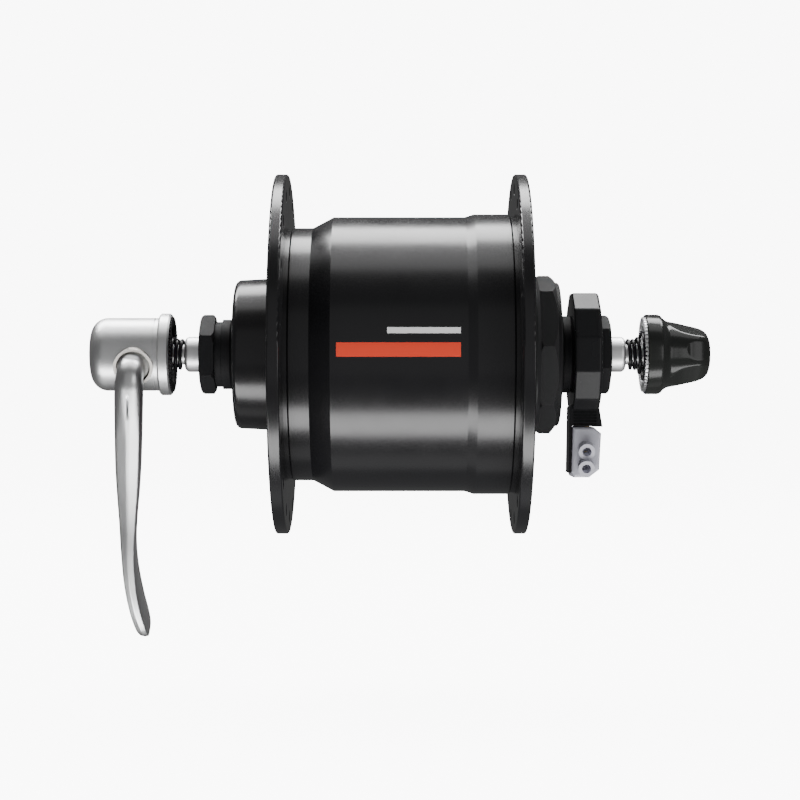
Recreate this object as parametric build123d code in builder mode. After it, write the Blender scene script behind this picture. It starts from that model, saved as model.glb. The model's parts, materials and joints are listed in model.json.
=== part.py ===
"""Front hub dynamo with its quick-release skewer: an assembly of separate pieces, in millimetres.

Frame: the axle runs along Y with the quick-release lever at +Y and the lamp terminals at -Y.
+X points forward and +Z points up. The origin is on the axle's centre line, midway between the
outer faces of the two locknuts.
"""
from build123d import *
import math
import os

os.makedirs("parts", exist_ok=True)

# Fork and axle
FORK_GAP = 100.0
AXLE_STANDOUT = 4.0
AXLE_R = 4.5
AXLE_SEAT_R = 4.33
AXLE_SEAT_ROOT = 49.9
AXLE_BORE_R = 2.75
AXLE_END_ROUNDING = 1.2
THREAD_FIT = 0.02
LOCKNUT_FLATS = 17.0
LOCKNUT_THICKNESS = 3.6
LOCKNUT_SERRATIONS = 30

# Spoke flanges
FLANGE_R = 44.0
FLANGE_THICKNESS = 3.0
LEFT_FLANGE = 28.4
RIGHT_FLANGE = -26.4
LEFT_SPOKE_CIRCLE_R = 39.8
RIGHT_SPOKE_CIRCLE_R = 40.4
SPOKE_HOLE_R = 1.3
SPOKES_PER_SIDE = 18

# Drum
DRUM_R = 33.6
DRUM_NECK_R = 30.95
DRUM_COVER_END_R = 34.3
DRUM_BORE_R = 30.6
COVER_SEAT_R = 32.2
BOSS_ROOT_R = 18.7
BOSS_END_R = 18.15
BOSS_END = 41.4

# Ball bearings
BALL_R = 2.38
GROOVE_R = 2.5
BALL_CIRCLE_R = 10.2
BALL_COUNT = 10
LEFT_BALLS = 36.5
RIGHT_BALLS = -33.5
BEARING_SEAT_R = 14.6
SHOULDER_R = 11.0
LIP_R = 8.1

# Generator
POLES = 28
CLAW_ANGLE = 8.6
STATOR_R = 26.1
CLAW_THICKNESS = 2.4
YOKE_THICKNESS = 2.0
STACK_HALF = 13.0
STATOR_SEAT_R = 6.0
STATOR_STOP_R = 8.0
CORE_R = 9.5
BOBBIN_R = 22.8
MAGNET_R = 26.7
MAGNET_BACK_R = 29.1
MAGNET_HALF = 14.0
MAGNET_ANGLE = 84.0
MAGNET_COUNT = 4

LEAD_GROOVE_START = -17.0
LEAD_GROOVE_END = -44.6
LEAD_GROOVE_WIDTH = 2.1
LEAD_R = 0.45

# Right cover
OCTAGON_R = 19.5
OCTAGON_TURN = 4.5
COVER_FACE = -29.2
COVER_END = -36.5
DUST_PLATE_R = 17.6

# Lamp connector
HOUSING_INNER = -40.6
HOUSING_OUTER = -46.4
HOUSING_RIM = 0.8
HOUSING_CORNER_R = 15.5
HOUSING_SIDES = 12
HOUSING_TURN = 13.9
TAIL_HALF_WIDTH = 6.5
TAIL_END = -17.6
GUARD_REACH = 2.0
GRIP_GROOVES = 7
GRIP_TOP = -12.7
GRIP_PITCH = 0.72
TERMINAL_OFFSET = 3.2
TERMINAL_Y = -44.3

# Quick release
ROD_R = 2.5
ROD_END = -69.0
CAM_Y = 65.8
CAM_TILT = 22.0
CAM_THROW = 0.6
CAM_R = 2.9
CAM_HALF_LENGTH = 3.0
NEAR_JOURNAL_R = 4.05
FAR_JOURNAL_R = 2.1
FAR_JOURNAL_END = 10.6
BUSH_R = 4.8
BUSH_LENGTH = 3.1
BUSH_END = 9.1
RETAINER_SEAT = 8.4
EYE_R = 5.3
EYE_THICKNESS = 4.4
EYE_PLAY = 0.25
CAP_R = 8.95
CAP_RING_R = 10.05
CAP_FACE = 57.2
CAP_END = 76.9
CAP_CAVITY_R = 6.2
ARM_OFFSET = 12.6
NUT_FACE = -58.7
NUT_END = -74.5
NUT_BASE_R = 9.8
NUT_SLEEVE_R = 4.6
SPRING_WIRE_R = 0.45
SPRING_TIP_R = 3.35
SPRING_MOUTH_R = 6.7
SPRING_TURNS = 3

# Derived places
SEAT_Y = FORK_GAP / 2
AXLE_HALF = SEAT_Y + AXLE_STANDOUT
THREAD_BORE_R = AXLE_R + THREAD_FIT
YOKE_FACE = STACK_HALF - YOKE_THICKNESS
CLAW_INNER_R = STATOR_R - CLAW_THICKNESS
GROOVE_FLOOR = AXLE_BORE_R + 0.65
CAM_COS = math.cos(math.radians(CAM_TILT))
CAM_SIN = math.sin(math.radians(CAM_TILT))

# Local X of this plane points outboard along the axle, local Y runs down the lever's arm,
# and Z is the cam shaft's own direction, rearward and slightly down.
CAM_PLANE = Plane(origin=(0, CAM_Y, 0), x_dir=(0, 1, 0), z_dir=(-CAM_COS, 0, -CAM_SIN))


def station(y):
    """Plane across the axle at y. It faces +Y, with local X up and local Y forward."""
    return Plane.ZX.offset(y)


def ring(start, end, inner, outer):
    """Corners of a ring's section, as (axial, radial) points."""
    return (start, inner), (end, inner), (end, outer), (start, outer)


def outboard(centre, points):
    """Place (axial, radial) points, given outboard of a bearing's ball centre, on its side."""
    side = math.copysign(1, centre)
    return [(centre + side * axial, radial) for axial, radial in points]


def arm_plane(down):
    """Plane across the lever's arm. Local X points outboard and local Y points forward."""
    origin = CAM_PLANE.from_local_coords((0, down, 0))
    return Plane(origin=origin, x_dir=(0, 1, 0), z_dir=CAM_PLANE.y_dir)


# ---------------------------------------------------------------- axle and its fixed pieces

with BuildPart() as axle:
    with BuildSketch(Plane.YZ):
        Polygon(*ring(-AXLE_HALF, AXLE_HALF, AXLE_BORE_R, AXLE_SEAT_R), align=None)
        Polygon(*ring(-AXLE_SEAT_ROOT, AXLE_SEAT_ROOT, AXLE_BORE_R, AXLE_R), align=None)
        Polygon(*ring(-STACK_HALF - 4, STACK_HALF, AXLE_BORE_R, STATOR_SEAT_R), align=None)
        Polygon(*ring(STACK_HALF, STACK_HALF + 2.5, AXLE_BORE_R, STATOR_STOP_R), align=None)
    revolve(axis=Axis.Y)
    rims = axle.edges().filter_by(GeomType.CIRCLE)
    rims = rims.filter_by(lambda rim: abs(rim.radius - AXLE_SEAT_R) < 0.01).sort_by(Axis.Y)
    fillet((rims[0], rims[-1]), AXLE_END_ROUNDING)
    # Groove for the winding's two wires.
    with Locations((0, (LEAD_GROOVE_START + LEAD_GROOVE_END) / 2, -GROOVE_FLOOR - 1)):
        Box(LEAD_GROOVE_WIDTH, LEAD_GROOVE_START - LEAD_GROOVE_END, 2, mode=Mode.SUBTRACT)
axle.part.label = "axle"
export_step(axle.part, "parts/axle.step")

with BuildPart() as left_cone:
    with BuildSketch(Plane.YZ):
        Polygon(
            (LEFT_BALLS - 2.7, THREAD_BORE_R),
            (LEFT_BALLS - 2.7, 7.6),
            (LEFT_BALLS, 7.7),
            (LEFT_BALLS + 1.6, 9.0),
            (LEFT_BALLS + 2.8, 9.0),
            (LEFT_BALLS + 2.8, 7.6),
            (41.6, 7.6),
            (42.6, 8.55),
            (44.6, 8.55),
            (44.6, THREAD_BORE_R),
            align=None,
        )
    revolve(axis=Axis.Y)
    with Locations(station(LEFT_BALLS)):
        Torus(BALL_CIRCLE_R, GROOVE_R, mode=Mode.SUBTRACT)
left_cone.part.label = "left_cone"
export_step(left_cone.part, "parts/left_cone.step")

with BuildPart() as right_cone:
    with BuildSketch(Plane.YZ):
        Polygon(
            (RIGHT_BALLS + 2.7, THREAD_BORE_R),
            (RIGHT_BALLS + 2.7, 7.6),
            (RIGHT_BALLS, 7.7),
            (RIGHT_BALLS - 1.6, 9.0),
            (RIGHT_BALLS - 2.6, 9.0),
            (RIGHT_BALLS - 2.6, 7.6),
            (-38.1, 7.6),
            (-38.1, 9.1),
            (-38.5, 9.45),
            (-40.2, 9.45),
            (HOUSING_INNER, 9.1),
            (HOUSING_INNER, THREAD_BORE_R),
            align=None,
        )
    revolve(axis=Axis.Y)
    with Locations(station(RIGHT_BALLS)):
        Torus(BALL_CIRCLE_R, GROOVE_R, mode=Mode.SUBTRACT)
right_cone.part.label = "right_cone"
export_step(right_cone.part, "parts/right_cone.step")

with BuildPart() as left_washer:
    with BuildSketch(Plane.YZ):
        Polygon(*ring(44.6, SEAT_Y - LOCKNUT_THICKNESS, THREAD_BORE_R, 8.0), align=None)
    revolve(axis=Axis.Y)
    chamfer(left_washer.edges().filter_by(GeomType.CIRCLE), 0.15)
left_washer.part.label = "left_washer"
export_step(left_washer.part, "parts/left_washer.step")

# Each locknut is a hexagon with turned corners and a serrated outer face.
for name, side, turn in (("left_locknut", 1, -3.7), ("right_locknut", -1, 8.0)):
    inner_face = side * (SEAT_Y - LOCKNUT_THICKNESS)
    outer_face = side * SEAT_Y
    with BuildPart() as locknut:
        with BuildSketch(station(inner_face)):
            RegularPolygon(LOCKNUT_FLATS / 2, 6, major_radius=False, rotation=turn)
        extrude(amount=side * LOCKNUT_THICKNESS)
        with BuildSketch(Plane.YZ):
            Polygon(
                (inner_face, THREAD_BORE_R),
                (inner_face, 9.0),
                (inner_face + side * 0.5, 9.75),
                (outer_face - side * 0.8, 9.75),
                (outer_face - side * 0.25, 9.4),
                (outer_face, 8.8),
                (outer_face, THREAD_BORE_R + 0.3),
                (outer_face - side * 0.3, THREAD_BORE_R),
                align=None,
            )
        revolve(axis=Axis.Y, mode=Mode.INTERSECT)
        with BuildSketch(station(outer_face)):
            with PolarLocations(6.9, LOCKNUT_SERRATIONS):
                Rectangle(2.6, 0.55)
        extrude(amount=-side * 0.3, mode=Mode.SUBTRACT)
    locknut.part.label = name
    export_step(locknut.part, f"parts/{name}.step")

with BuildPart() as stator_core:
    with BuildSketch(Plane.YZ):
        Polygon(*ring(-YOKE_FACE, YOKE_FACE, STATOR_SEAT_R + THREAD_FIT, CORE_R), align=None)
    revolve(axis=Axis.Y)
stator_core.part.label = "stator_core"
export_step(stator_core.part, "parts/stator_core.step")

# The two claw yokes face each other, and the claws of one stand in the gaps of the other.
for name, side, turn in (("left_claw_yoke", 1, 0), ("right_claw_yoke", -1, 360 / POLES)):
    with BuildPart() as claw_yoke:
        with BuildSketch(station(side * YOKE_FACE)):
            Circle(STATOR_R)
            Circle(STATOR_SEAT_R + THREAD_FIT, mode=Mode.SUBTRACT)
        extrude(amount=side * YOKE_THICKNESS)
        with BuildSketch(station(side * YOKE_FACE)):
            reach = STATOR_R * 1.1
            half_width = reach * math.tan(math.radians(CLAW_ANGLE / 2))
            with PolarLocations(0, POLES // 2, start_angle=turn):
                Polygon((0, 0), (reach, -half_width), (reach, half_width), align=None)
            Circle(STATOR_R, mode=Mode.INTERSECT)
            Circle(CLAW_INNER_R, mode=Mode.SUBTRACT)
        extrude(amount=-side * (2 * YOKE_FACE - 0.6))
        if side < 0:
            with BuildSketch(station(-STACK_HALF)):
                with Locations((-11.5, 0)):
                    SlotCenterToCenter(1.0, 1.5, rotation=90)
            extrude(amount=YOKE_THICKNESS, mode=Mode.SUBTRACT)
    claw_yoke.part.label = name
    export_step(claw_yoke.part, f"parts/{name}.step")

with BuildPart() as coil_bobbin:
    with BuildSketch(Plane.YZ):
        Polygon(*ring(-YOKE_FACE, YOKE_FACE, CORE_R + THREAD_FIT, 10.3), align=None)
        for side in (1, -1):
            flange = ring(side * (YOKE_FACE - 0.9), side * YOKE_FACE, CORE_R + THREAD_FIT, BOBBIN_R)
            Polygon(*flange, align=None)
    revolve(axis=Axis.Y)
    with BuildSketch(station(-YOKE_FACE)):
        with Locations((-11.5, 0)):
            SlotCenterToCenter(1.0, 1.5, rotation=90)
    extrude(amount=0.9, mode=Mode.SUBTRACT)
coil_bobbin.part.label = "coil_bobbin"
export_step(coil_bobbin.part, "parts/coil_bobbin.step")

with BuildPart() as coil_winding:
    with BuildSketch(Plane.YZ):
        Polygon(*ring(-YOKE_FACE + 0.9, YOKE_FACE - 0.9, 10.3, BOBBIN_R - 0.8), align=None)
    revolve(axis=Axis.Y)
coil_winding.part.label = "coil_winding"
export_step(coil_winding.part, "parts/coil_winding.step")

with BuildPart() as stator_nut:
    with BuildSketch(station(-STACK_HALF)):
        RegularPolygon(10.0, 6, major_radius=False, rotation=30)
        Circle(STATOR_SEAT_R + THREAD_FIT, mode=Mode.SUBTRACT)
    extrude(amount=-3.5)
stator_nut.part.label = "stator_nut"
export_step(stator_nut.part, "parts/stator_nut.step")

# Two wires run from the winding, over the nut, and under the cone along the axle's groove.
LEAD_RUN = -GROOVE_FLOOR - LEAD_R
with BuildPart() as coil_lead:
    for offset in (-0.5, 0.5):
        with BuildLine(Plane.YZ.offset(offset)) as route:
            FilletPolyline(
                (-YOKE_FACE + 0.9, -11.5),
                (-19.0, -11.5),
                (-22.5, LEAD_RUN),
                (-43.5, LEAD_RUN),
                (-43.5, -10.5),
                radius=0.95,
            )
        with BuildSketch(Plane.ZX.offset(-YOKE_FACE + 0.9)):
            with Locations((-11.5, offset)):
                Circle(LEAD_R)
        sweep(path=route.wires()[0])
coil_lead.part.label = "coil_lead"
export_step(coil_lead.part, "parts/coil_lead.step")

# ---------------------------------------------------------------- lamp connector

with BuildPart() as connector_housing:
    with BuildSketch(station(HOUSING_INNER)):
        RegularPolygon(HOUSING_CORNER_R, HOUSING_SIDES, rotation=HOUSING_TURN)
    extrude(amount=HOUSING_OUTER - HOUSING_INNER - HOUSING_RIM)
    fillet(connector_housing.edges().filter_by(Axis.Y), 1.6)
    fillet(connector_housing.faces().sort_by(Axis.Y)[0].edges(), 0.9)
    fillet(connector_housing.faces().sort_by(Axis.Y)[-1].edges(), 0.5)
    with Locations((0, (HOUSING_INNER + HOUSING_OUTER - HOUSING_RIM) / 2, (TAIL_END - 8) / 2)):
        Box(2 * TAIL_HALF_WIDTH, HOUSING_INNER - HOUSING_OUTER, -8 - TAIL_END)
    # Outboard flare of the tail, and the guard plate beside the plug.
    with BuildSketch(Plane.YZ.offset(-TAIL_HALF_WIDTH)):
        Polygon((-46, -11.5), (-47.0, -12.4), (-47.9, -17.7), (-46, -17.7), align=None)
    extrude(amount=2 * TAIL_HALF_WIDTH)
    with BuildSketch(Plane.YZ.offset(-TAIL_HALF_WIDTH)):
        Polygon((-39.9, -13), (-41.5, -11), (-41.5, -17), (-40.5, -17.5), (-40.2, -28.9), (-39.6, -28.9),
                align=None)
    extrude(amount=TAIL_HALF_WIDTH + GUARD_REACH)
    # Grip grooves across the rear of the tail.
    with BuildSketch(Plane.YZ.offset(-TAIL_HALF_WIDTH)):
        for groove in range(GRIP_GROOVES):
            with Locations((-43.6, GRIP_TOP - GRIP_PITCH * groove)):
                Rectangle(5.6, GRIP_PITCH / 2)
    extrude(amount=0.4, mode=Mode.SUBTRACT)
    # Axle bore, locknut recess, terminal slots and wire chamber.
    with BuildSketch(station(HOUSING_INNER + 0.1)):
        Circle(THREAD_BORE_R)
    extrude(amount=-8, mode=Mode.SUBTRACT)
    with BuildSketch(station(HOUSING_OUTER)):
        Circle(10.2)
    extrude(amount=-2, mode=Mode.SUBTRACT)
    with Locations((0, -43.5, -8)):
        Box(2.2, 2.2, 8, mode=Mode.SUBTRACT)
    for side in (-1, 1):
        with Locations((side * TERMINAL_OFFSET, TERMINAL_Y, -14)):
            Box(2.8, 0.8, 8, mode=Mode.SUBTRACT)
connector_housing.part.label = "connector_housing"
export_step(connector_housing.part, "parts/connector_housing.step")

with BuildPart() as terminals:
    for side in (-1, 1):
        with Locations((side * TERMINAL_OFFSET, TERMINAL_Y, -18)):
            Box(2.8, 0.8, 16)
terminals.part.label = "terminals"
export_step(terminals.part, "parts/terminals.step")

# ---------------------------------------------------------------- pieces that turn with the wheel

with BuildPart() as hub_shell:
    with BuildSketch(Plane.YZ):
        Polygon(
            (RIGHT_FLANGE - FLANGE_THICKNESS, COVER_SEAT_R),
            (RIGHT_FLANGE - FLANGE_THICKNESS, FLANGE_R),
            (RIGHT_FLANGE, FLANGE_R),
            (RIGHT_FLANGE, DRUM_COVER_END_R - 0.4),
            (RIGHT_FLANGE + 0.9, DRUM_COVER_END_R - 0.4),
            (RIGHT_FLANGE + 1.3, DRUM_COVER_END_R),
            (-16.7, DRUM_COVER_END_R),
            (-14.5, DRUM_R),
            (17.4, DRUM_R),
            (22.4, DRUM_NECK_R),
            (LEFT_FLANGE - 1.3, DRUM_NECK_R),
            (LEFT_FLANGE - 0.9, DRUM_NECK_R - 0.4),
            (LEFT_FLANGE, DRUM_NECK_R - 0.4),
            (LEFT_FLANGE, FLANGE_R),
            (LEFT_FLANGE + FLANGE_THICKNESS, FLANGE_R),
            (LEFT_FLANGE + FLANGE_THICKNESS, BOSS_ROOT_R),
            (BOSS_END, BOSS_END_R),
            (BOSS_END, BEARING_SEAT_R),
            (LEFT_BALLS - 3.6, BEARING_SEAT_R),
            (LEFT_BALLS - 3.6, SHOULDER_R),
            (LEFT_FLANGE + 0.3, SHOULDER_R),
            (LEFT_FLANGE + 0.3, 27.6),
            (19.0, 27.6),
            (19.0, DRUM_BORE_R),
            (-17.0, DRUM_BORE_R),
            (-17.0, COVER_SEAT_R),
            align=None,
        )
    revolve(axis=Axis.Y)
    circles = hub_shell.edges().filter_by(GeomType.CIRCLE)
    fillet(circles.filter_by(lambda rim: abs(rim.radius - FLANGE_R) < 0.01), 0.5)
    circles = hub_shell.edges().filter_by(GeomType.CIRCLE)
    fillet(circles.filter_by(lambda rim: abs(rim.radius - BOSS_END_R) < 0.01), 1.5)
    circles = hub_shell.edges().filter_by(GeomType.CIRCLE)
    fillet(circles.filter_by(lambda rim: abs(rim.radius - BOSS_ROOT_R) < 0.01), 0.8)
    # The holes of one flange stand midway between those of the other.
    for left_face, radius, turn in (
        (LEFT_FLANGE + FLANGE_THICKNESS, LEFT_SPOKE_CIRCLE_R, 0),
        (RIGHT_FLANGE, RIGHT_SPOKE_CIRCLE_R, 180 / SPOKES_PER_SIDE),
    ):
        with BuildSketch(station(left_face)):
            with PolarLocations(radius, SPOKES_PER_SIDE, start_angle=turn):
                Circle(SPOKE_HOLE_R)
        extrude(amount=-FLANGE_THICKNESS, mode=Mode.SUBTRACT)
    circles = hub_shell.edges().filter_by(GeomType.CIRCLE)
    chamfer(circles.filter_by(lambda rim: abs(rim.radius - SPOKE_HOLE_R) < 0.01), 0.3)
hub_shell.part.label = "hub_shell"
export_step(hub_shell.part, "parts/hub_shell.step")

with BuildPart() as right_cover:
    # Octagonal wrench boss with its corners turned off towards the end.
    with BuildSketch(station(COVER_END)):
        RegularPolygon(OCTAGON_R, 8, rotation=OCTAGON_TURN)
    extrude(amount=-32.2 - COVER_END)
    with BuildSketch(Plane.YZ):
        Polygon((-32.2, 0), (-32.2, 19.0), (-32.7, OCTAGON_R), (-35.3, OCTAGON_R), (COVER_END, 18.0),
                (COVER_END, 0), align=None)
    revolve(axis=Axis.Y, mode=Mode.INTERSECT)
    with BuildSketch(Plane.YZ):
        Polygon(
            (COVER_FACE, COVER_SEAT_R - THREAD_FIT),
            (COVER_FACE, 20.4),
            (COVER_FACE - 0.7, 19.75),
            (-31.4, 19.75),
            (-32.2, 19.0),
            (-32.2, BEARING_SEAT_R),
            (RIGHT_BALLS + 3.6, BEARING_SEAT_R),
            (RIGHT_BALLS + 3.6, SHOULDER_R),
            (-26.4, SHOULDER_R),
            (-26.4, 30.7),
            (-20.2, 30.7),
            (-20.2, COVER_SEAT_R - THREAD_FIT),
            align=None,
        )
    revolve(axis=Axis.Y)
    with BuildSketch(station(COVER_END)):
        Circle(BEARING_SEAT_R)
    extrude(amount=RIGHT_BALLS + 3.6 - COVER_END, mode=Mode.SUBTRACT)
right_cover.part.label = "right_cover"
export_step(right_cover.part, "parts/right_cover.step")

with BuildPart() as cover_gasket:
    with BuildSketch(Plane.YZ):
        with Locations((-18.6, 31.45)):
            RectangleRounded(3.0, 1.4, 0.5)
    revolve(axis=Axis.Y)
cover_gasket.part.label = "cover_gasket"
export_step(cover_gasket.part, "parts/cover_gasket.step")

with BuildPart() as flux_ring:
    with BuildSketch(Plane.YZ):
        Polygon(*ring(-15, 15, MAGNET_BACK_R, DRUM_BORE_R - THREAD_FIT), align=None)
    revolve(axis=Axis.Y)
flux_ring.part.label = "flux_ring"
export_step(flux_ring.part, "parts/flux_ring.step")

for number in range(MAGNET_COUNT):
    with BuildPart() as magnet:
        with BuildSketch(station(-MAGNET_HALF)):
            with PolarLocations(0, 1, start_angle=number * 360 / MAGNET_COUNT):
                reach = MAGNET_BACK_R * 2
                half_width = reach * math.tan(math.radians(MAGNET_ANGLE / 2))
                Polygon((0, 0), (reach, -half_width), (reach, half_width), align=None)
            Circle(MAGNET_BACK_R - THREAD_FIT, mode=Mode.INTERSECT)
            Circle(MAGNET_R, mode=Mode.SUBTRACT)
        extrude(amount=2 * MAGNET_HALF)
    magnet.part.label = f"magnet_{number + 1}"
    export_step(magnet.part, f"parts/magnet_{number + 1}.step")

# ---------------------------------------------------------------- ball bearings

for name, centre in (("left", LEFT_BALLS), ("right", RIGHT_BALLS)):
    with BuildPart() as cup:
        with BuildSketch(Plane.YZ):
            section = ((-3.6, 9.2), (-3.6, BEARING_SEAT_R - THREAD_FIT), (2.1, BEARING_SEAT_R - THREAD_FIT),
                       (2.1, 12.7), (0, 12.7), (-1.8, 10.9), (-2.0, 9.2))
            Polygon(*outboard(centre, section), align=None)
        revolve(axis=Axis.Y)
        with Locations(station(centre)):
            Torus(BALL_CIRCLE_R, GROOVE_R, mode=Mode.SUBTRACT)
    cup.part.label = f"{name}_bearing_cup"
    export_step(cup.part, f"parts/{name}_bearing_cup.step")

    with BuildPart() as cage:
        with BuildSketch(Plane.YZ):
            Polygon(*outboard(centre, ring(-0.3, 2.75, 9.7, 11.5)), align=None)
        revolve(axis=Axis.Y)
        with Locations(station(centre)):
            with PolarLocations(BALL_CIRCLE_R, BALL_COUNT):
                Sphere(BALL_R + 0.06, mode=Mode.SUBTRACT)
    cage.part.label = f"{name}_ball_cage"
    export_step(cage.part, f"parts/{name}_ball_cage.step")

    with BuildPart() as balls:
        with Locations(station(centre)):
            with PolarLocations(BALL_CIRCLE_R, BALL_COUNT):
                Sphere(BALL_R)
    balls.part.label = f"{name}_balls"
    export_step(balls.part, f"parts/{name}_balls.step")

with BuildPart() as left_dust_cap:
    with BuildSketch(Plane.YZ):
        Polygon(
            (39.75, LIP_R),
            (39.75, BEARING_SEAT_R - THREAD_FIT),
            (41.0, BEARING_SEAT_R - THREAD_FIT),
            (40.6, 13.4),
            (40.6, 9.6),
            (41.0, 9.0),
            (41.0, LIP_R),
            align=None,
        )
    revolve(axis=Axis.Y)
left_dust_cap.part.label = "left_dust_cap"
export_step(left_dust_cap.part, "parts/left_dust_cap.step")

with BuildPart() as right_dust_cap:
    with BuildSketch(Plane.YZ):
        Polygon(
            (COVER_END, LIP_R),
            (COVER_END, 12.2),
            (COVER_END + 0.8, 12.2),
            (COVER_END + 0.8, BEARING_SEAT_R - THREAD_FIT),
            (COVER_END, BEARING_SEAT_R - THREAD_FIT),
            (COVER_END, DUST_PLATE_R),
            (COVER_END - 0.7, DUST_PLATE_R),
            (COVER_END - 1.0, DUST_PLATE_R - 0.3),
            (COVER_END - 1.0, LIP_R),
            align=None,
        )
    revolve(axis=Axis.Y)
right_dust_cap.part.label = "right_dust_cap"
export_step(right_dust_cap.part, "parts/right_dust_cap.step")

# ---------------------------------------------------------------- quick release

EYE_Y = CAM_Y + CAM_THROW
with BuildPart() as skewer_rod:
    with BuildSketch(station(ROD_END)):
        Circle(ROD_R)
    extrude(amount=EYE_Y - ROD_END)
    chamfer(skewer_rod.edges().sort_by(Axis.Y)[0], 0.5)
    with BuildSketch(CAM_PLANE.offset(-EYE_THICKNESS / 2)):
        with Locations((CAM_THROW, 0)):
            Circle(EYE_R)
    extrude(amount=EYE_THICKNESS)
    with BuildSketch(CAM_PLANE.offset(-EYE_R)):
        with Locations((CAM_THROW, 0)):
            SlotCenterToCenter(2 * CAM_THROW, 2 * (CAM_R + EYE_PLAY), rotation=90)
    extrude(amount=2 * EYE_R, mode=Mode.SUBTRACT)
skewer_rod.part.label = "skewer_rod"
export_step(skewer_rod.part, "parts/skewer_rod.step")

with BuildPart() as lever_cap:
    with BuildSketch(Plane.YZ):
        with BuildLine():
            Polyline(
                (CAP_END, 0),
                (CAP_FACE + 15.1, 0),
                (CAP_FACE + 15.1, CAP_CAVITY_R),
                (CAP_FACE + 2.0, CAP_CAVITY_R),
                (CAP_FACE + 2.0, 7.3),
                (CAP_FACE + 1.2, 7.3),
                (CAP_FACE + 1.2, 9.25),
                (CAP_FACE, 9.25),
                (CAP_FACE, 9.7),
                (CAP_FACE + 0.4, CAP_RING_R),
                (CAP_FACE + 2.4, CAP_RING_R),
                (CAP_FACE + 2.8, 9.7),
                (CAP_FACE + 2.8, CAP_R),
                (CAP_FACE + 3.7, CAP_R),
                (CAP_FACE + 3.7, CAP_R - 0.25),
                (CAP_FACE + 4.0, CAP_R - 0.25),
                (CAP_FACE + 4.0, CAP_R),
                (CAP_END - 4.1, CAP_R),
            )
            RadiusArc((CAP_END - 4.1, CAP_R), (CAP_END, CAP_R - 4.1), 4.1)
            Line((CAP_END, CAP_R - 4.1), (CAP_END, 0))
        make_face()
    revolve(axis=Axis.Y)
    # Cross bore for the cam shaft: a wide hole for the bush, and a small one with a spot face.
    with BuildSketch(CAM_PLANE):
        Circle(BUSH_R + THREAD_FIT)
    extrude(amount=12, mode=Mode.SUBTRACT)
    with BuildSketch(CAM_PLANE):
        Circle(FAR_JOURNAL_R + 0.05)
    extrude(amount=-12, mode=Mode.SUBTRACT)
    with BuildSketch(CAM_PLANE.offset(-8.2)):
        Circle(3.8)
    extrude(amount=-4, mode=Mode.SUBTRACT)
lever_cap.part.label = "lever_cap"
export_step(lever_cap.part, "parts/lever_cap.step")

# Hardened rings with radial serrations: one in the cap, one in the tension nut.
GRIP_SERRATIONS = 54
with BuildPart() as cap_grip_ring:
    with BuildSketch(Plane.YZ):
        Polygon(*ring(CAP_FACE - 0.4, CAP_FACE + 1.2, 7.3, 9.2), align=None)
    revolve(axis=Axis.Y)
    with BuildSketch(station(CAP_FACE - 0.4)):
        with PolarLocations(8.3, GRIP_SERRATIONS):
            Rectangle(2.4, 0.5)
    extrude(amount=0.4, mode=Mode.SUBTRACT)
cap_grip_ring.part.label = "cap_grip_ring"
export_step(cap_grip_ring.part, "parts/cap_grip_ring.step")

with BuildPart() as cam_bush:
    with BuildSketch(CAM_PLANE.offset(BUSH_END - BUSH_LENGTH)):
        Circle(BUSH_R)
        Circle(NEAR_JOURNAL_R + 0.05, mode=Mode.SUBTRACT)
    extrude(amount=BUSH_LENGTH)
cam_bush.part.label = "cam_bush"
export_step(cam_bush.part, "parts/cam_bush.step")

# The arm's sections, from the cam shaft to the tip: distance down the arm, outboard bow, thickness
# along the axle, and width along the cam shaft.
ARM_ROOT = (0.0, 0.6, 6.6, 6.6)
ARM_SECTIONS = (
    (22.0, 1.7, 6.7, 6.7),
    (30.0, 2.0, 5.4, 7.2),
    (38.0, 2.1, 3.9, 8.6),
    (46.0, 2.1, 3.0, 12.0),
    (54.0, 1.7, 2.85, 14.0),
    (61.0, 0.8, 2.8, 14.6),
    (66.5, -0.3, 2.6, 13.4),
    (69.9, -1.1, 1.8, 9.0),
)
with BuildPart() as cam_lever:
    for down, bow, thickness, width in (ARM_ROOT, ARM_SECTIONS[0]):
        with BuildSketch(arm_plane(down)):
            with Locations((bow, -ARM_OFFSET)):
                RectangleRounded(thickness, width, thickness * 0.42)
    loft(ruled=True)
    for down, bow, thickness, width in ARM_SECTIONS:
        with BuildSketch(arm_plane(down)):
            with Locations((bow, -ARM_OFFSET)):
                RectangleRounded(thickness, width, thickness * 0.42)
    loft()
    # Shaft end, near journal, cam and far journal.
    with BuildSketch(CAM_PLANE.offset(CAM_HALF_LENGTH)):
        Circle(NEAR_JOURNAL_R)
    extrude(amount=ARM_OFFSET + 3.2 - CAM_HALF_LENGTH)
    with BuildSketch(CAM_PLANE.offset(-CAM_HALF_LENGTH)):
        with Locations((CAM_THROW, 0)):
            Circle(CAM_R)
    extrude(amount=2 * CAM_HALF_LENGTH)
    with BuildSketch(CAM_PLANE.offset(-FAR_JOURNAL_END)):
        Circle(FAR_JOURNAL_R)
    extrude(amount=FAR_JOURNAL_END - CAM_HALF_LENGTH)
cam_lever.part.label = "cam_lever"
export_step(cam_lever.part, "parts/cam_lever.step")

with BuildPart() as cam_retainer:
    with BuildSketch(CAM_PLANE.offset(-RETAINER_SEAT)):
        Circle(3.4)
    extrude(amount=-3.0)
    fillet(cam_retainer.edges().filter_by(GeomType.CIRCLE).group_by(Axis.X)[-1], 1.4)
    with BuildSketch(CAM_PLANE.offset(-RETAINER_SEAT)):
        Circle(FAR_JOURNAL_R + THREAD_FIT)
    extrude(amount=RETAINER_SEAT - FAR_JOURNAL_END - 0.05, mode=Mode.SUBTRACT)
cam_retainer.part.label = "cam_retainer"
export_step(cam_retainer.part, "parts/cam_retainer.step")

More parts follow.
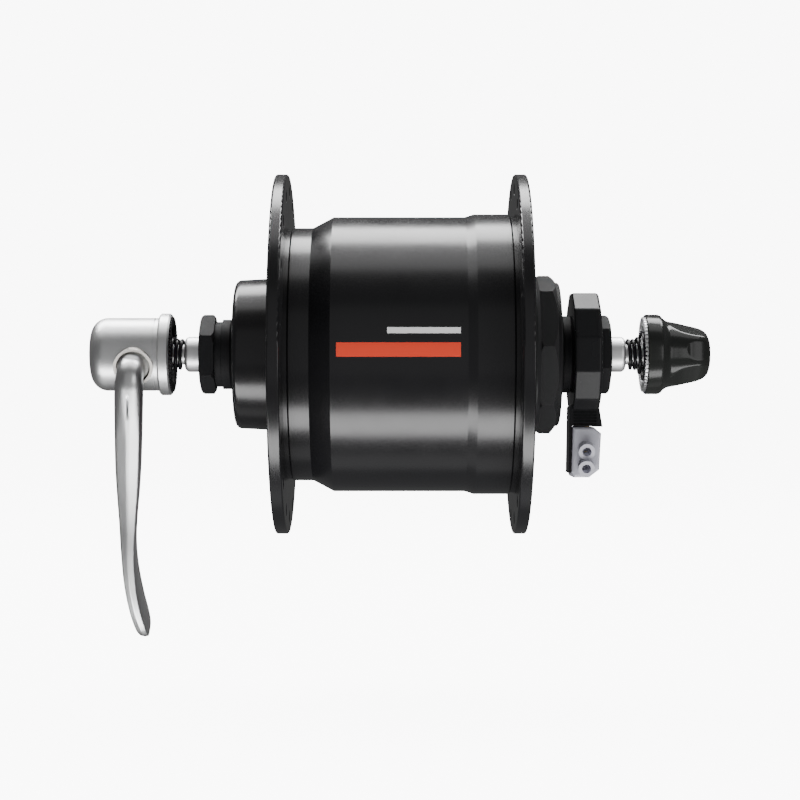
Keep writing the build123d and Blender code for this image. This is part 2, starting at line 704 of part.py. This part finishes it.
with BuildPart() as tension_nut:
    # Six tapered flats on the outer end.
    for place, flats in ((-64.2, 8.7), (-68.6, 6.9), (NUT_END, 5.6)):
        with BuildSketch(station(place)):
            RegularPolygon(flats, 6, major_radius=False)
    loft(ruled=True)
    with BuildSketch(Plane.YZ):
        Polygon((-64.2, 0), (-64.2, 8.2), (-72.2, 6.7), (NUT_END, 4.9), (NUT_END, 0), align=None)
    revolve(axis=Axis.Y, mode=Mode.INTERSECT)
    with BuildSketch(Plane.YZ):
        with BuildLine():
            Polyline((-64.2, 8.2), (-64.2, 0), (NUT_FACE, 0), (NUT_FACE, NUT_BASE_R - 0.3),
                     (NUT_FACE - 0.3, NUT_BASE_R), (-61.8, NUT_BASE_R))
            RadiusArc((-61.8, NUT_BASE_R), (-64.2, 8.2), -3.2)
        make_face()
    revolve(axis=Axis.Y)
    for end, radius in ((-61.0, 9.22), (-68.0, NUT_SLEEVE_R + THREAD_FIT), (-73.0, ROD_R + 0.05)):
        with BuildSketch(station(NUT_FACE)):
            Circle(radius)
        extrude(amount=end - NUT_FACE, mode=Mode.SUBTRACT)
tension_nut.part.label = "tension_nut"
export_step(tension_nut.part, "parts/tension_nut.step")

with BuildPart() as nut_grip_ring:
    with BuildSketch(Plane.YZ):
        Polygon(
            (NUT_FACE + 0.5, 7.3),
            (NUT_FACE + 0.5, 9.2),
            (-61.0, 9.2),
            (-61.0, NUT_SLEEVE_R),
            (-68.0, NUT_SLEEVE_R),
            (-68.0, ROD_R + 0.05),
            (-59.4, ROD_R + 0.05),
            (-59.4, 7.3),
            align=None,
        )
    revolve(axis=Axis.Y)
    with BuildSketch(station(NUT_FACE + 0.5)):
        with PolarLocations(8.3, GRIP_SERRATIONS):
            Rectangle(2.4, 0.5)
    extrude(amount=-0.5, mode=Mode.SUBTRACT)
nut_grip_ring.part.label = "nut_grip_ring"
export_step(nut_grip_ring.part, "parts/nut_grip_ring.step")

# Conical springs, each with its small end on the axle.
for name, side, mouth in (("left_volute_spring", 1, CAP_FACE + 2.0), ("right_volute_spring", -1, 59.4)):
    height = mouth - AXLE_HALF - 2 * SPRING_WIRE_R
    flare = math.degrees(math.atan((SPRING_MOUTH_R - SPRING_TIP_R) / height))
    start = (0, side * (AXLE_HALF + SPRING_WIRE_R), 0)
    with BuildPart() as spring:
        with BuildLine() as coil:
            Helix(height / SPRING_TURNS, height, SPRING_TIP_R, start, (0, side, 0), flare)
        with BuildSketch(Plane(origin=coil.line @ 0, z_dir=coil.line % 0)):
            Circle(SPRING_WIRE_R)
        sweep(path=coil.line, is_frenet=True)
    spring.part.label = name
    export_step(spring.part, f"parts/{name}.step")

# ---------------------------------------------------------------- lamp plug

PLUG_FRONT = -6.9
PLUG_TOP = -17.75
PLUG_BOTTOM = -30.0
WIRE_BOSS = Vector(-math.cos(0.3), 0, -math.sin(0.3))
with BuildPart() as plug_body:
    with BuildSketch(Plane.YZ.offset(PLUG_FRONT)):
        Polygon(
            (-40.65, PLUG_TOP),
            (-40.35, -28.6),
            (-40.9, PLUG_BOTTOM),
            (-44.6, PLUG_BOTTOM),
            (-47.1, -28.1),
            (-47.6, -19.3),
            (-45.7, PLUG_TOP),
            align=None,
        )
    extrude(amount=-2 * PLUG_FRONT)
    fillet(plug_body.faces().sort_by(Axis.X)[0].edges(), 0.8)
    # Two hollow bosses lean down and rearward, where the lamp's wires go in.
    for y, z in ((-43.9, -22.7), (-43.8, -26.8)):
        boss_root = Plane(origin=(PLUG_FRONT + 1.4, y, z), x_dir=(0, -1, 0), z_dir=WIRE_BOSS)
        with BuildSketch(boss_root):
            Circle(2.0)
        extrude(amount=3.6)
        with BuildSketch(boss_root):
            Circle(1.1)
        extrude(amount=3.6, mode=Mode.SUBTRACT)
    for side in (-1, 1):
        with Locations((side * TERMINAL_OFFSET, TERMINAL_Y, PLUG_TOP - 4.75)):
            Box(4.0, 2.0, 9.5, mode=Mode.SUBTRACT)
plug_body.part.label = "plug_body"
export_step(plug_body.part, "parts/plug_body.step")

with BuildPart() as plug_sockets:
    for side in (-1, 1):
        with Locations((side * TERMINAL_OFFSET, TERMINAL_Y, PLUG_TOP - 4.95)):
            Box(4.0, 2.0, 8.6)
            Box(2.95, 0.95, 8.6, mode=Mode.SUBTRACT)
plug_sockets.part.label = "plug_sockets"
export_step(plug_sockets.part, "parts/plug_sockets.step")
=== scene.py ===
"""Looks for the front hub dynamo: camera, studio, materials, and the meshes finer than the CAD's."""

import json
import math

import bmesh
import bpy
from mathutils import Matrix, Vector


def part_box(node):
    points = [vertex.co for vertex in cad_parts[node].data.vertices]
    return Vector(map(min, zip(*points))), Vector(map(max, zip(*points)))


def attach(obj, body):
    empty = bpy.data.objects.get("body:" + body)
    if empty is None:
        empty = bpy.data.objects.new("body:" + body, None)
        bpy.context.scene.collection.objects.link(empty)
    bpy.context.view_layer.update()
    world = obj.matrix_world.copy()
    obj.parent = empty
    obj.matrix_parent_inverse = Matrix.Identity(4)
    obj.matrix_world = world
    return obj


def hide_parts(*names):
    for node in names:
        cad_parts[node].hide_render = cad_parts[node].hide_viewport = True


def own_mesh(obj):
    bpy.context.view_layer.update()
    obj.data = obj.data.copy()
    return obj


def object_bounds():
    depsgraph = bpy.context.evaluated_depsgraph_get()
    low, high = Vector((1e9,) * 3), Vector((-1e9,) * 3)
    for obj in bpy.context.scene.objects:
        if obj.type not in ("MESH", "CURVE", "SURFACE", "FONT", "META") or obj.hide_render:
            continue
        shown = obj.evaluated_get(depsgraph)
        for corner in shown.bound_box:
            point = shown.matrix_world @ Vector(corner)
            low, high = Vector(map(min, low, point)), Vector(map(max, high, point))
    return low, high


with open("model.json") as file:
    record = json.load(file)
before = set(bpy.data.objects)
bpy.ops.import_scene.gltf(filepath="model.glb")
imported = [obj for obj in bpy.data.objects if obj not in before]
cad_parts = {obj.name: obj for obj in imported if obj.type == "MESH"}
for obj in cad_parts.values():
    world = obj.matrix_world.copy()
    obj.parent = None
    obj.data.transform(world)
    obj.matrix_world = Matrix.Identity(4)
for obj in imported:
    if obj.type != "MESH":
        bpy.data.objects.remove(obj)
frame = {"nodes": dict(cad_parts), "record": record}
cad_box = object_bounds()

NODES = frame["nodes"]
SLOT_OF = {part["node"]: part["material_slot"] for part in frame["record"]["subparts"]}
JOINTS = {joint["name"]: joint for joint in frame["record"]["behaviour"]["joints"]}
MM = 0.001

# ---------------------------------------------------------------- camera

CAMERA_DISTANCE = 0.490
CAMERA_SIDE = 0.00125
CAMERA_HEIGHT = -0.0112
LENS = 89.7
SENSOR = 36
NEAREST = 0.01


def add_camera():
    """Looks forward along +X at the hub's side, level with the axle."""
    data = bpy.data.cameras.new("camera")
    data.lens = LENS
    data.sensor_width = SENSOR
    data.clip_start = NEAREST
    camera = bpy.data.objects.new("camera", data)
    camera.location = (-CAMERA_DISTANCE, CAMERA_SIDE, CAMERA_HEIGHT)
    camera.rotation_euler = (math.radians(90), 0, math.radians(-90))
    bpy.context.scene.collection.objects.link(camera)
    bpy.context.scene.camera = camera


# ---------------------------------------------------------------- studio

FLOOR_DROP = 0.012
FLOOR_SIZE = 12.0
BACKGROUND = 9.0
AMBIENT = 0.12
PAPER_GREY = 0.3
PAPER_ROUGHNESS = 0.9


def area_light(name, elevation, distance, size, power, shift=0.0):
    """A soft light facing the hub. Its elevation is in degrees, up and over from the camera's side."""
    data = bpy.data.lights.new(name, "AREA")
    data.shape = "RECTANGLE"
    data.size, data.size_y = size
    data.energy = power
    light = bpy.data.objects.new(name, data)
    turn = math.radians(elevation)
    light.location = (-distance * math.cos(turn), shift, distance * math.sin(turn))
    light.rotation_euler = (-light.location).to_track_quat("-Z", "Y").to_euler()
    light.visible_camera = False
    bpy.context.scene.collection.objects.link(light)


def add_surround():
    """White behind the hub, and a dim even light on it."""
    world = bpy.data.worlds.new("surround")
    bpy.context.scene.world = world
    world.use_nodes = True
    tree = world.node_tree
    seen = tree.nodes["Background"]
    seen.inputs["Color"].default_value = (1, 1, 1, 1)
    seen.inputs["Strength"].default_value = BACKGROUND
    lit = tree.nodes.new("ShaderNodeBackground")
    lit.inputs["Color"].default_value = (1, 1, 1, 1)
    lit.inputs["Strength"].default_value = AMBIENT
    path = tree.nodes.new("ShaderNodeLightPath")
    mix = tree.nodes.new("ShaderNodeMixShader")
    tree.links.new(path.outputs["Is Camera Ray"], mix.inputs["Fac"])
    tree.links.new(lit.outputs["Background"], mix.inputs[1])
    tree.links.new(seen.outputs["Background"], mix.inputs[2])
    tree.links.new(mix.outputs["Shader"], tree.nodes["World Output"].inputs["Surface"])


def add_floor():
    """A plain pale floor just under the hub. It leaves the light from below alone."""
    drop = cad_box[0][2] - FLOOR_DROP
    half = FLOOR_SIZE / 2
    mesh = bpy.data.meshes.new("floor")
    corners = [(-half, -half, drop), (half, -half, drop), (half, half, drop), (-half, half, drop)]
    mesh.from_pydata(corners, [], [(0, 1, 2, 3)])
    floor = bpy.data.objects.new("floor", mesh)
    bpy.context.scene.collection.objects.link(floor)
    paper = bpy.data.materials.new("pale_paper")
    paper.use_nodes = True
    shader = paper.node_tree.nodes["Principled BSDF"]
    shader.inputs["Base Color"].default_value = (PAPER_GREY, PAPER_GREY, PAPER_GREY, 1)
    shader.inputs["Roughness"].default_value = PAPER_ROUGHNESS
    shader.inputs["Emission Color"].default_value = (1, 1, 1, 1)
    shader.inputs["Emission Strength"].default_value = BACKGROUND
    mesh.materials.append(paper)
    floor.visible_glossy = False
    floor.visible_diffuse = False
    floor.visible_shadow = False


def add_studio():
    add_surround()
    add_floor()
    area_light("key", 115, 1.0, (1.6, 0.44), 36)
    area_light("top", 84, 1.1, (1.6, 0.5), 5.0)
    area_light("front", 10, 1.3, (1.6, 1.4), 1.4)
    area_light("right_front", 5, 0.9, (0.5, 0.7), 3.0, shift=-0.8)
    area_light("low_front", -60, 0.8, (1.3, 0.30), 12.5)
    area_light("below", -100, 0.9, (1.3, 0.3), 0.6)


# ---------------------------------------------------------------- materials

# Slot: base colour, metallic, shine, roughness, roughness spread, turned-groove depth, grain depth.
FINISHES = {
    "shell_black": ((0.008, 0.008, 0.009), 0.0, 0.50, 0.24, 0.04, 0.38, 0.0),
    "cover_black": ((0.022, 0.022, 0.023), 0.0, 0.14, 0.34, 0.05, 0.2, 0.1),
    "steel_black": ((0.012, 0.012, 0.013), 0.0, 0.10, 0.60, 0.06, 0.15, 0.15),
    "steel_bright": ((0.76, 0.76, 0.77), 1.0, 0.50, 0.42, 0.08, 0.1, 0.6),
    "bearing_steel": ((0.75, 0.75, 0.77), 1.0, 0.50, 0.12, 0.03, 0.0, 0.0),
    "spring_black": ((0.008, 0.008, 0.009), 0.0, 0.12, 0.25, 0.06, 0.0, 0.1),
    "lever_silver": ((0.68, 0.685, 0.69), 1.0, 0.50, 0.34, 0.05, 0.0, 0.12),
    "cap_silver": ((0.70, 0.705, 0.71), 1.0, 0.50, 0.38, 0.05, 0.12, 0.12),
    "nut_black": ((0.016, 0.017, 0.016), 0.0, 0.25, 0.18, 0.04, 0.0, 0.1),
    "housing_black": ((0.013, 0.013, 0.014), 0.0, 0.10, 0.26, 0.05, 0.0, 0.1),
    "plug_grey": ((0.52, 0.52, 0.58), 0.0, 0.50, 0.42, 0.06, 0.0, 0.25),
    "bobbin_plastic": ((0.80, 0.78, 0.70), 0.0, 0.50, 0.45, 0.05, 0.0, 0.1),
    "copper": ((0.72, 0.34, 0.18), 1.0, 0.50, 0.30, 0.06, 0.6, 0.0),
    "brass": ((0.78, 0.60, 0.30), 1.0, 0.50, 0.25, 0.06, 0.0, 0.1),
    "yoke_steel": ((0.42, 0.42, 0.43), 1.0, 0.50, 0.38, 0.08, 0.0, 0.3),
    "magnet": ((0.13, 0.13, 0.14), 0.6, 0.50, 0.45, 0.08, 0.0, 0.4),
    "rubber": ((0.02, 0.02, 0.02), 0.0, 0.40, 0.75, 0.05, 0.0, 0.2),
    "bush_steel": ((0.52, 0.50, 0.47), 1.0, 0.50, 0.35, 0.06, 0.2, 0.1),
}
GROOVES_PER_M = 2800.0
GRAINS_PER_M = 9000.0
WEAR_PER_M = 140.0
BUMP_HEIGHT = 0.002 * MM
# Plain painted bars on the drum: two ends along the axle, two heights, colour.
BARS = (
    (-12.7, 4.2, 4.1, 5.5, (0.92, 0.92, 0.92)),
    (-12.7, 15.9, -1.3, 2.0, (0.80, 0.056, 0.023)),
)


class Nodes:
    """Short names for building a material's node tree."""

    def __init__(self, tree):
        self.tree = tree
        self.place = tree.nodes.new("ShaderNodeTexCoord").outputs["Object"]

    def add(self, kind, **settings):
        node = self.tree.nodes.new(f"ShaderNode{kind}")
        for name, value in settings.items():
            setattr(node, name, value)
        return node

    def link(self, source, target):
        self.tree.links.new(source, target)

    def math(self, operation, first, second=None):
        node = self.add("Math", operation=operation)
        for socket, value in zip(node.inputs, (first, second)):
            if isinstance(value, (int, float)):
                socket.default_value = value
            elif value is not None:
                self.link(value, socket)
        return node.outputs[0]

    def axes(self):
        split = self.add("SeparateXYZ")
        self.link(self.place, split.inputs[0])
        return split.outputs

    def turning(self):
        """Distance along a turned surface: it grows along the axle and out from it."""
        x, y, z = self.axes()
        flat = self.add("CombineXYZ")
        self.link(x, flat.inputs[0])
        self.link(z, flat.inputs[2])
        radius = self.add("VectorMath", operation="LENGTH")
        self.link(flat.outputs[0], radius.inputs[0])
        return self.math("ADD", y, radius.outputs["Value"])

    def grain(self):
        noise = self.add("TexNoise")
        noise.inputs["Scale"].default_value = GRAINS_PER_M
        noise.inputs["Detail"].default_value = 2.0
        self.link(self.place, noise.inputs["Vector"])
        return noise.outputs["Fac"]

    def grooves(self):
        noise = self.add("TexNoise", noise_dimensions="1D")
        noise.inputs["Scale"].default_value = GROOVES_PER_M
        noise.inputs["Detail"].default_value = 2.0
        self.link(self.turning(), noise.inputs["W"])
        return noise.outputs["Fac"]

    def clouds(self):
        noise = self.add("TexNoise")
        noise.inputs["Scale"].default_value = WEAR_PER_M
        noise.inputs["Detail"].default_value = 3.0
        self.link(self.place, noise.inputs["Vector"])
        return noise.outputs["Fac"]


def paint_bars(nodes, shader):
    """Paint the bars on the side of the drum that faces the camera at rest."""
    x, y, z = nodes.axes()
    colour = None
    for near, far, low, high, ink in BARS:
        inside = nodes.math("LESS_THAN", x, 0.0)
        for place, edge, operation in (
            (y, near, "GREATER_THAN"),
            (y, far, "LESS_THAN"),
            (z, low, "GREATER_THAN"),
            (z, high, "LESS_THAN"),
        ):
            inside = nodes.math("MULTIPLY", inside, nodes.math(operation, place, edge * MM))
        mix = nodes.add("Mix", data_type="RGBA")
        nodes.link(inside, mix.inputs[0])
        if colour is None:
            mix.inputs[6].default_value = shader.inputs["Base Color"].default_value
        else:
            nodes.link(colour, mix.inputs[6])
        mix.inputs[7].default_value = (*ink, 1)
        colour = mix.outputs[2]
    nodes.link(colour, shader.inputs["Base Color"])


def make_finish(slot):
    """A node material for one slot: uneven roughness, and bump from turning marks and grain."""
    colour, metallic, shine, roughness, spread, groove_depth, grain_depth = FINISHES[slot]
    material = bpy.data.materials.new(f"finish_{slot}")
    material.use_nodes = True
    nodes = Nodes(material.node_tree)
    shader = material.node_tree.nodes["Principled BSDF"]
    shader.inputs["Base Color"].default_value = (*colour, 1)
    shader.inputs["Metallic"].default_value = metallic
    shader.inputs["Specular IOR Level"].default_value = shine
    wear = nodes.math("MULTIPLY", nodes.math("SUBTRACT", nodes.clouds(), 0.5), spread * 2)
    nodes.link(nodes.math("ADD", wear, roughness), shader.inputs["Roughness"])
    height = None
    for depth, pattern in ((groove_depth, nodes.grooves), (grain_depth, nodes.grain)):
        if depth:
            layer = nodes.math("MULTIPLY", pattern(), depth)
            height = layer if height is None else nodes.math("ADD", height, layer)
    if height is not None:
        bump = nodes.add("Bump")
        bump.inputs["Strength"].default_value = 1.0
        bump.inputs["Distance"].default_value = BUMP_HEIGHT
        nodes.link(height, bump.inputs["Height"])
        nodes.link(bump.outputs["Normal"], shader.inputs["Normal"])
    return material


MATERIALS = {slot: make_finish(slot) for slot in FINISHES}
DRUM_TREE = MATERIALS[SLOT_OF["hub_shell"]].node_tree
paint_bars(Nodes(DRUM_TREE), DRUM_TREE.nodes["Principled BSDF"])


def dress_cad_nodes():
    for name, node in NODES.items():
        node.data.materials.clear()
        node.data.materials.append(MATERIALS[SLOT_OF[name]])


# ---------------------------------------------------------------- meshes

CREASE = 32


def new_piece(name, rings, body, slot, crease=CREASE):
    """A closed mesh through a list of rings of points, capped at both ends, riding on a body."""
    count = len(rings[0])
    shape = bmesh.new()
    points = [[shape.verts.new(point) for point in ring] for ring in rings]
    for near, far in zip(points, points[1:]):
        for i in range(count):
            j = (i + 1) % count
            shape.faces.new((near[i], near[j], far[j], far[i]))
    shape.faces.new(points[0])
    shape.faces.new(points[-1])
    bmesh.ops.recalc_face_normals(shape, faces=shape.faces)
    mesh = bpy.data.meshes.new(name)
    shape.to_mesh(mesh)
    shape.free()
    mesh.materials.append(MATERIALS[slot])
    mesh.shade_smooth()
    mesh.set_sharp_from_angle(angle=math.radians(crease))
    piece = bpy.data.objects.new(name, mesh)
    bpy.context.scene.collection.objects.link(piece)
    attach(piece, body)
    return piece


def along(table, at):
    """A row's values at a distance, on smooth curves through a table whose first column is the distance."""
    last = len(table) - 1
    i = max(0, min(last - 1, sum(row[0] <= at for row in table) - 1))
    low, high = table[i], table[i + 1]
    before, after = table[max(0, i - 1)], table[min(last, i + 2)]
    span = high[0] - low[0]
    t = min(1.0, max(0.0, (at - low[0]) / span))
    values = []
    for a, b, c, d in zip(before[1:], low[1:], high[1:], after[1:]):
        rise_low = (c - a) / (high[0] - before[0]) * span
        rise_high = (d - b) / (after[0] - low[0]) * span
        values.append(
            (2 * t**3 - 3 * t**2 + 1) * b
            + (t**3 - 2 * t**2 + t) * rise_low
            + (3 * t**2 - 2 * t**3) * c
            + (t**3 - t**2) * rise_high
        )
    return values


# Quick-release lever. Its cam shaft lies across the axle, and its arm turns a right angle from the shaft.
CAM_CENTRE = Vector(JOINTS["lever_flip"]["pos_m"])
TO_SIDE = -Vector(JOINTS["lever_flip"]["axis"])
OUTBOARD = Vector((0, 1, 0))
DOWN_ARM = TO_SIDE.cross(OUTBOARD)
ARM_OFFSET = 12.6
ELBOW_R = 3.2
ELBOW_STEPS = 10
FULL_FACETS = 16.0
# Along the shaft: distance, radius, cam throw.
SHAFT = (
    (-10.6, 2.1, 0.0),
    (-3.0, 2.1, 0.0),
    (-3.0, 2.9, 0.6),
    (3.0, 2.9, 0.6),
    (3.0, 4.05, 0.0),
    (8.2, 4.05, 0.0),
    (8.7, 3.9, 0.2),
    (9.1, 3.55, 0.35),
)
# Down the arm: distance, outboard bow, half thickness along the axle, half width.
ARM = (
    (0.0, 0.45, 3.35, 2.95),
    (6.0, 0.85, 3.55, 3.15),
    (22.0, 1.7, 3.35, 3.35),
    (30.0, 2.05, 2.95, 3.6),
    (38.0, 2.35, 2.3, 4.3),
    (46.0, 2.55, 1.8, 5.6),
    (54.0, 2.25, 1.6, 6.6),
    (61.0, 1.35, 1.5, 7.0),
    (66.5, 0.2, 1.4, 6.4),
    (68.8, -0.4, 1.15, 5.0),
    (69.7, -0.65, 0.75, 3.3),
    (69.9, -0.7, 0.4, 1.8),
)
# The arm's section, one corner a row: direction on a round bar, and in half thicknesses, place across the arm
# and drop from the front.
SECTION = (
    (90, -0.06, 0.0),
    (145, -0.86, 0.34),
    (205, -1.0, 1.2),
    (335, 1.0, 1.2),
    (395, 0.92, 0.42),
)
ROUND_BACK = 2
POINTS_PER_SIDE = 12
SMOOTHINGS = 3
ARM_STEP = 0.5
TIP_START = 65.0
TIP_STEP = 0.15
GROOVE_START = 4.8
GROOVE_END = 10.5
GROOVE_DEPTH = 0.9


def bar_outline(half_thickness, half_width, facets, groove):
    """The arm's section: from an oval bar to one whose front is two facets meeting in a ridge."""
    t, h = half_thickness, half_width
    outline = []
    for i, (turn, across, drop) in enumerate(SECTION):
        next_turn, next_across, next_drop = SECTION[(i + 1) % len(SECTION)]
        next_turn += 360 if next_turn < turn else 0
        for step in range(POINTS_PER_SIDE):
            share = step / POINTS_PER_SIDE
            a = math.radians(turn + (next_turn - turn) * share)
            oval = Vector((t * math.cos(a), h * math.sin(a)))
            straight = Vector((across + (next_across - across) * share, 0)) * t
            straight.y = h - (drop + (next_drop - drop) * share) * t
            flat = oval if i == ROUND_BACK else straight
            outline.append(oval * (1 - facets) + flat * facets)
    count = len(outline)
    for _ in range(SMOOTHINGS):
        outline = [(outline[i - 1] + outline[i] * 2 + outline[(i + 1) % count]) / 4 for i in range(count)]
    outline[0].y -= groove
    return outline


def lever_ring(to_side, down, turn, bow, outline):
    """Stand a flat outline across the lever's path, turned this far from the shaft towards the arm."""
    outward = TO_SIDE * math.sin(turn) - DOWN_ARM * math.cos(turn)
    centre = CAM_CENTRE + (TO_SIDE * to_side + DOWN_ARM * down + OUTBOARD * bow) * MM
    return [centre + (OUTBOARD * point.x + outward * point.y) * MM for point in outline]


def build_lever():
    rings = []
    for place, radius, throw in SHAFT:
        rings.append(lever_ring(place, 0, 0, throw, bar_outline(radius, radius, 0, 0)))
    for step in range(1, ELBOW_STEPS + 1):
        turn = math.pi / 2 * step / ELBOW_STEPS
        down = ELBOW_R * (1 - math.cos(turn))
        side = ARM_OFFSET - ELBOW_R * (1 - math.sin(turn))
        bow, thick, wide = along(ARM, down)
        rings.append(lever_ring(side, down, turn, bow, bar_outline(thick, wide, 0, 0)))
    down = ELBOW_R
    while down < ARM[-1][0]:
        down = min(down + (ARM_STEP if down < TIP_START else TIP_STEP), ARM[-1][0])
        bow, thick, wide = along(ARM, down)
        facets = min(1.0, (down - ELBOW_R) / (FULL_FACETS - ELBOW_R))
        reach = (down - GROOVE_START) / (GROOVE_END - GROOVE_START)
        groove = GROOVE_DEPTH * math.sin(math.pi * reach) if 0 < reach < 1 else 0.0
        outline = bar_outline(thick, wide, facets, groove)
        rings.append(lever_ring(ARM_OFFSET, down, math.pi / 2, bow, outline))
    lever = new_piece("lever_mesh", rings, "lever", "lever_silver")
    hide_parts("cam_lever")


# Conical springs: close small coils on the axle's end, then wider ones inside the cap or the nut.
WIRE_R = 0.45
WIRE_SIDES = 12
COILS = 4
STEPS_PER_COIL = 36
SMALL_COIL_R = 3.4
LARGE_COIL_R = 6.5
FLARE_START = 0.4
FLARE_POWER = 1.4


def build_spring(name, node, side, body):
    """A coil from the axle's end to the far end of the CAD spring, closed where it is small."""
    low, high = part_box(node)
    start = (low[1] if side > 0 else -high[1]) / MM + WIRE_R
    reach = (high[1] if side > 0 else -low[1]) / MM - WIRE_R - start
    steps = COILS * STEPS_PER_COIL
    path = []
    for step in range(steps + 1):
        share = step / steps
        turn = 2 * math.pi * COILS * share
        flare = max(0.0, (share - FLARE_START) / (1 - FLARE_START)) ** FLARE_POWER
        radius = SMALL_COIL_R + (LARGE_COIL_R - SMALL_COIL_R) * flare
        place = side * (start + reach * share)
        path.append(Vector((radius * math.cos(turn), place, radius * math.sin(turn))))
    rings = []
    for step, point in enumerate(path):
        ahead = (path[min(step + 1, steps)] - path[max(step - 1, 0)]).normalized()
        out = Vector((point.x, 0, point.z))
        out = (out - ahead * out.dot(ahead)).normalized()
        across = ahead.cross(out)
        ring = []
        for i in range(WIRE_SIDES):
            a = 2 * math.pi * i / WIRE_SIDES
            ring.append((point + (out * math.cos(a) + across * math.sin(a)) * WIRE_R) * MM)
        rings.append(ring)
    spring = new_piece(name, rings, body, "spring_black")
    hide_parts(node)
    return spring


def build_springs():
    build_spring("left_spring_mesh", "left_volute_spring", 1, "skewer")
    spring = build_spring("right_spring_mesh", "right_volute_spring", -1, "nut_spring")
    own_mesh(spring)


# Tension nut: turned base, and six flats of two lengths on its cone.
# Its bore, from the blind end to the rim: distance from the hub's middle, radius.
NUT_BORE = (
    (73.0, 2.55),
    (68.0, 2.55),
    (68.0, 4.62),
    (61.0, 4.62),
    (61.0, 9.22),
    (58.8, 9.22),
    (58.7, 9.35),
    (58.7, 9.55),
    (58.95, 9.8),
)
# Its outside: distance from the hub's middle, radius, distance of the long flats, of the short flats.
NUT_CONE = (
    (61.9, 9.8, 12.0, 12.0),
    (62.5, 9.55, 11.0, 12.0),
    (63.3, 8.75, 9.4, 12.0),
    (64.2, 8.2, 8.25, 11.0),
    (65.3, 7.95, 7.73, 9.6),
    (67.2, 7.6, 7.0, 8.0),
    (69.0, 7.2, 6.5, 7.0),
    (69.5, 7.1, 6.38, 6.82),
    (70.6, 6.85, 6.12, 6.42),
    (72.0, 6.45, 5.84, 6.0),
    (73.2, 5.85, 5.4, 5.45),
    (74.1, 4.9, 4.7, 4.75),
    (74.5, 3.8, 3.7, 3.75),
)
NO_FLATS = 99.0
FLAT_COUNT = 6
NUT_TURN = 8.0
NUT_SIDES = 144
NUT_STEPS = 84
NUT_CREASE = 26


def nut_ring(place, radius, long_flats, short_flats):
    ring = []
    for i in range(NUT_SIDES):
        a = 2 * math.pi * i / NUT_SIDES
        reach = radius
        for flat in range(FLAT_COUNT):
            lean = math.cos(a - math.radians(NUT_TURN + 360 / FLAT_COUNT * flat))
            if lean > 0:
                reach = min(reach, (long_flats if flat % 2 else short_flats) / lean)
        ring.append(Vector((-reach * math.cos(a), -place, reach * math.sin(a))) * MM)
    return ring


def build_nut():
    rings = [nut_ring(place, radius, NO_FLATS, NO_FLATS) for place, radius in NUT_BORE]
    start, end = NUT_CONE[0][0], NUT_CONE[-1][0]
    for step in range(NUT_STEPS + 1):
        place = start + (end - start) * step / NUT_STEPS
        rings.append(nut_ring(place, *along(NUT_CONE, place)))
    nut = new_piece("nut_mesh", rings, "nut", "nut_black", crease=NUT_CREASE)
    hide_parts("tension_nut")


add_camera()
add_studio()
dress_cad_nodes()
build_lever()
build_springs()
build_nut()
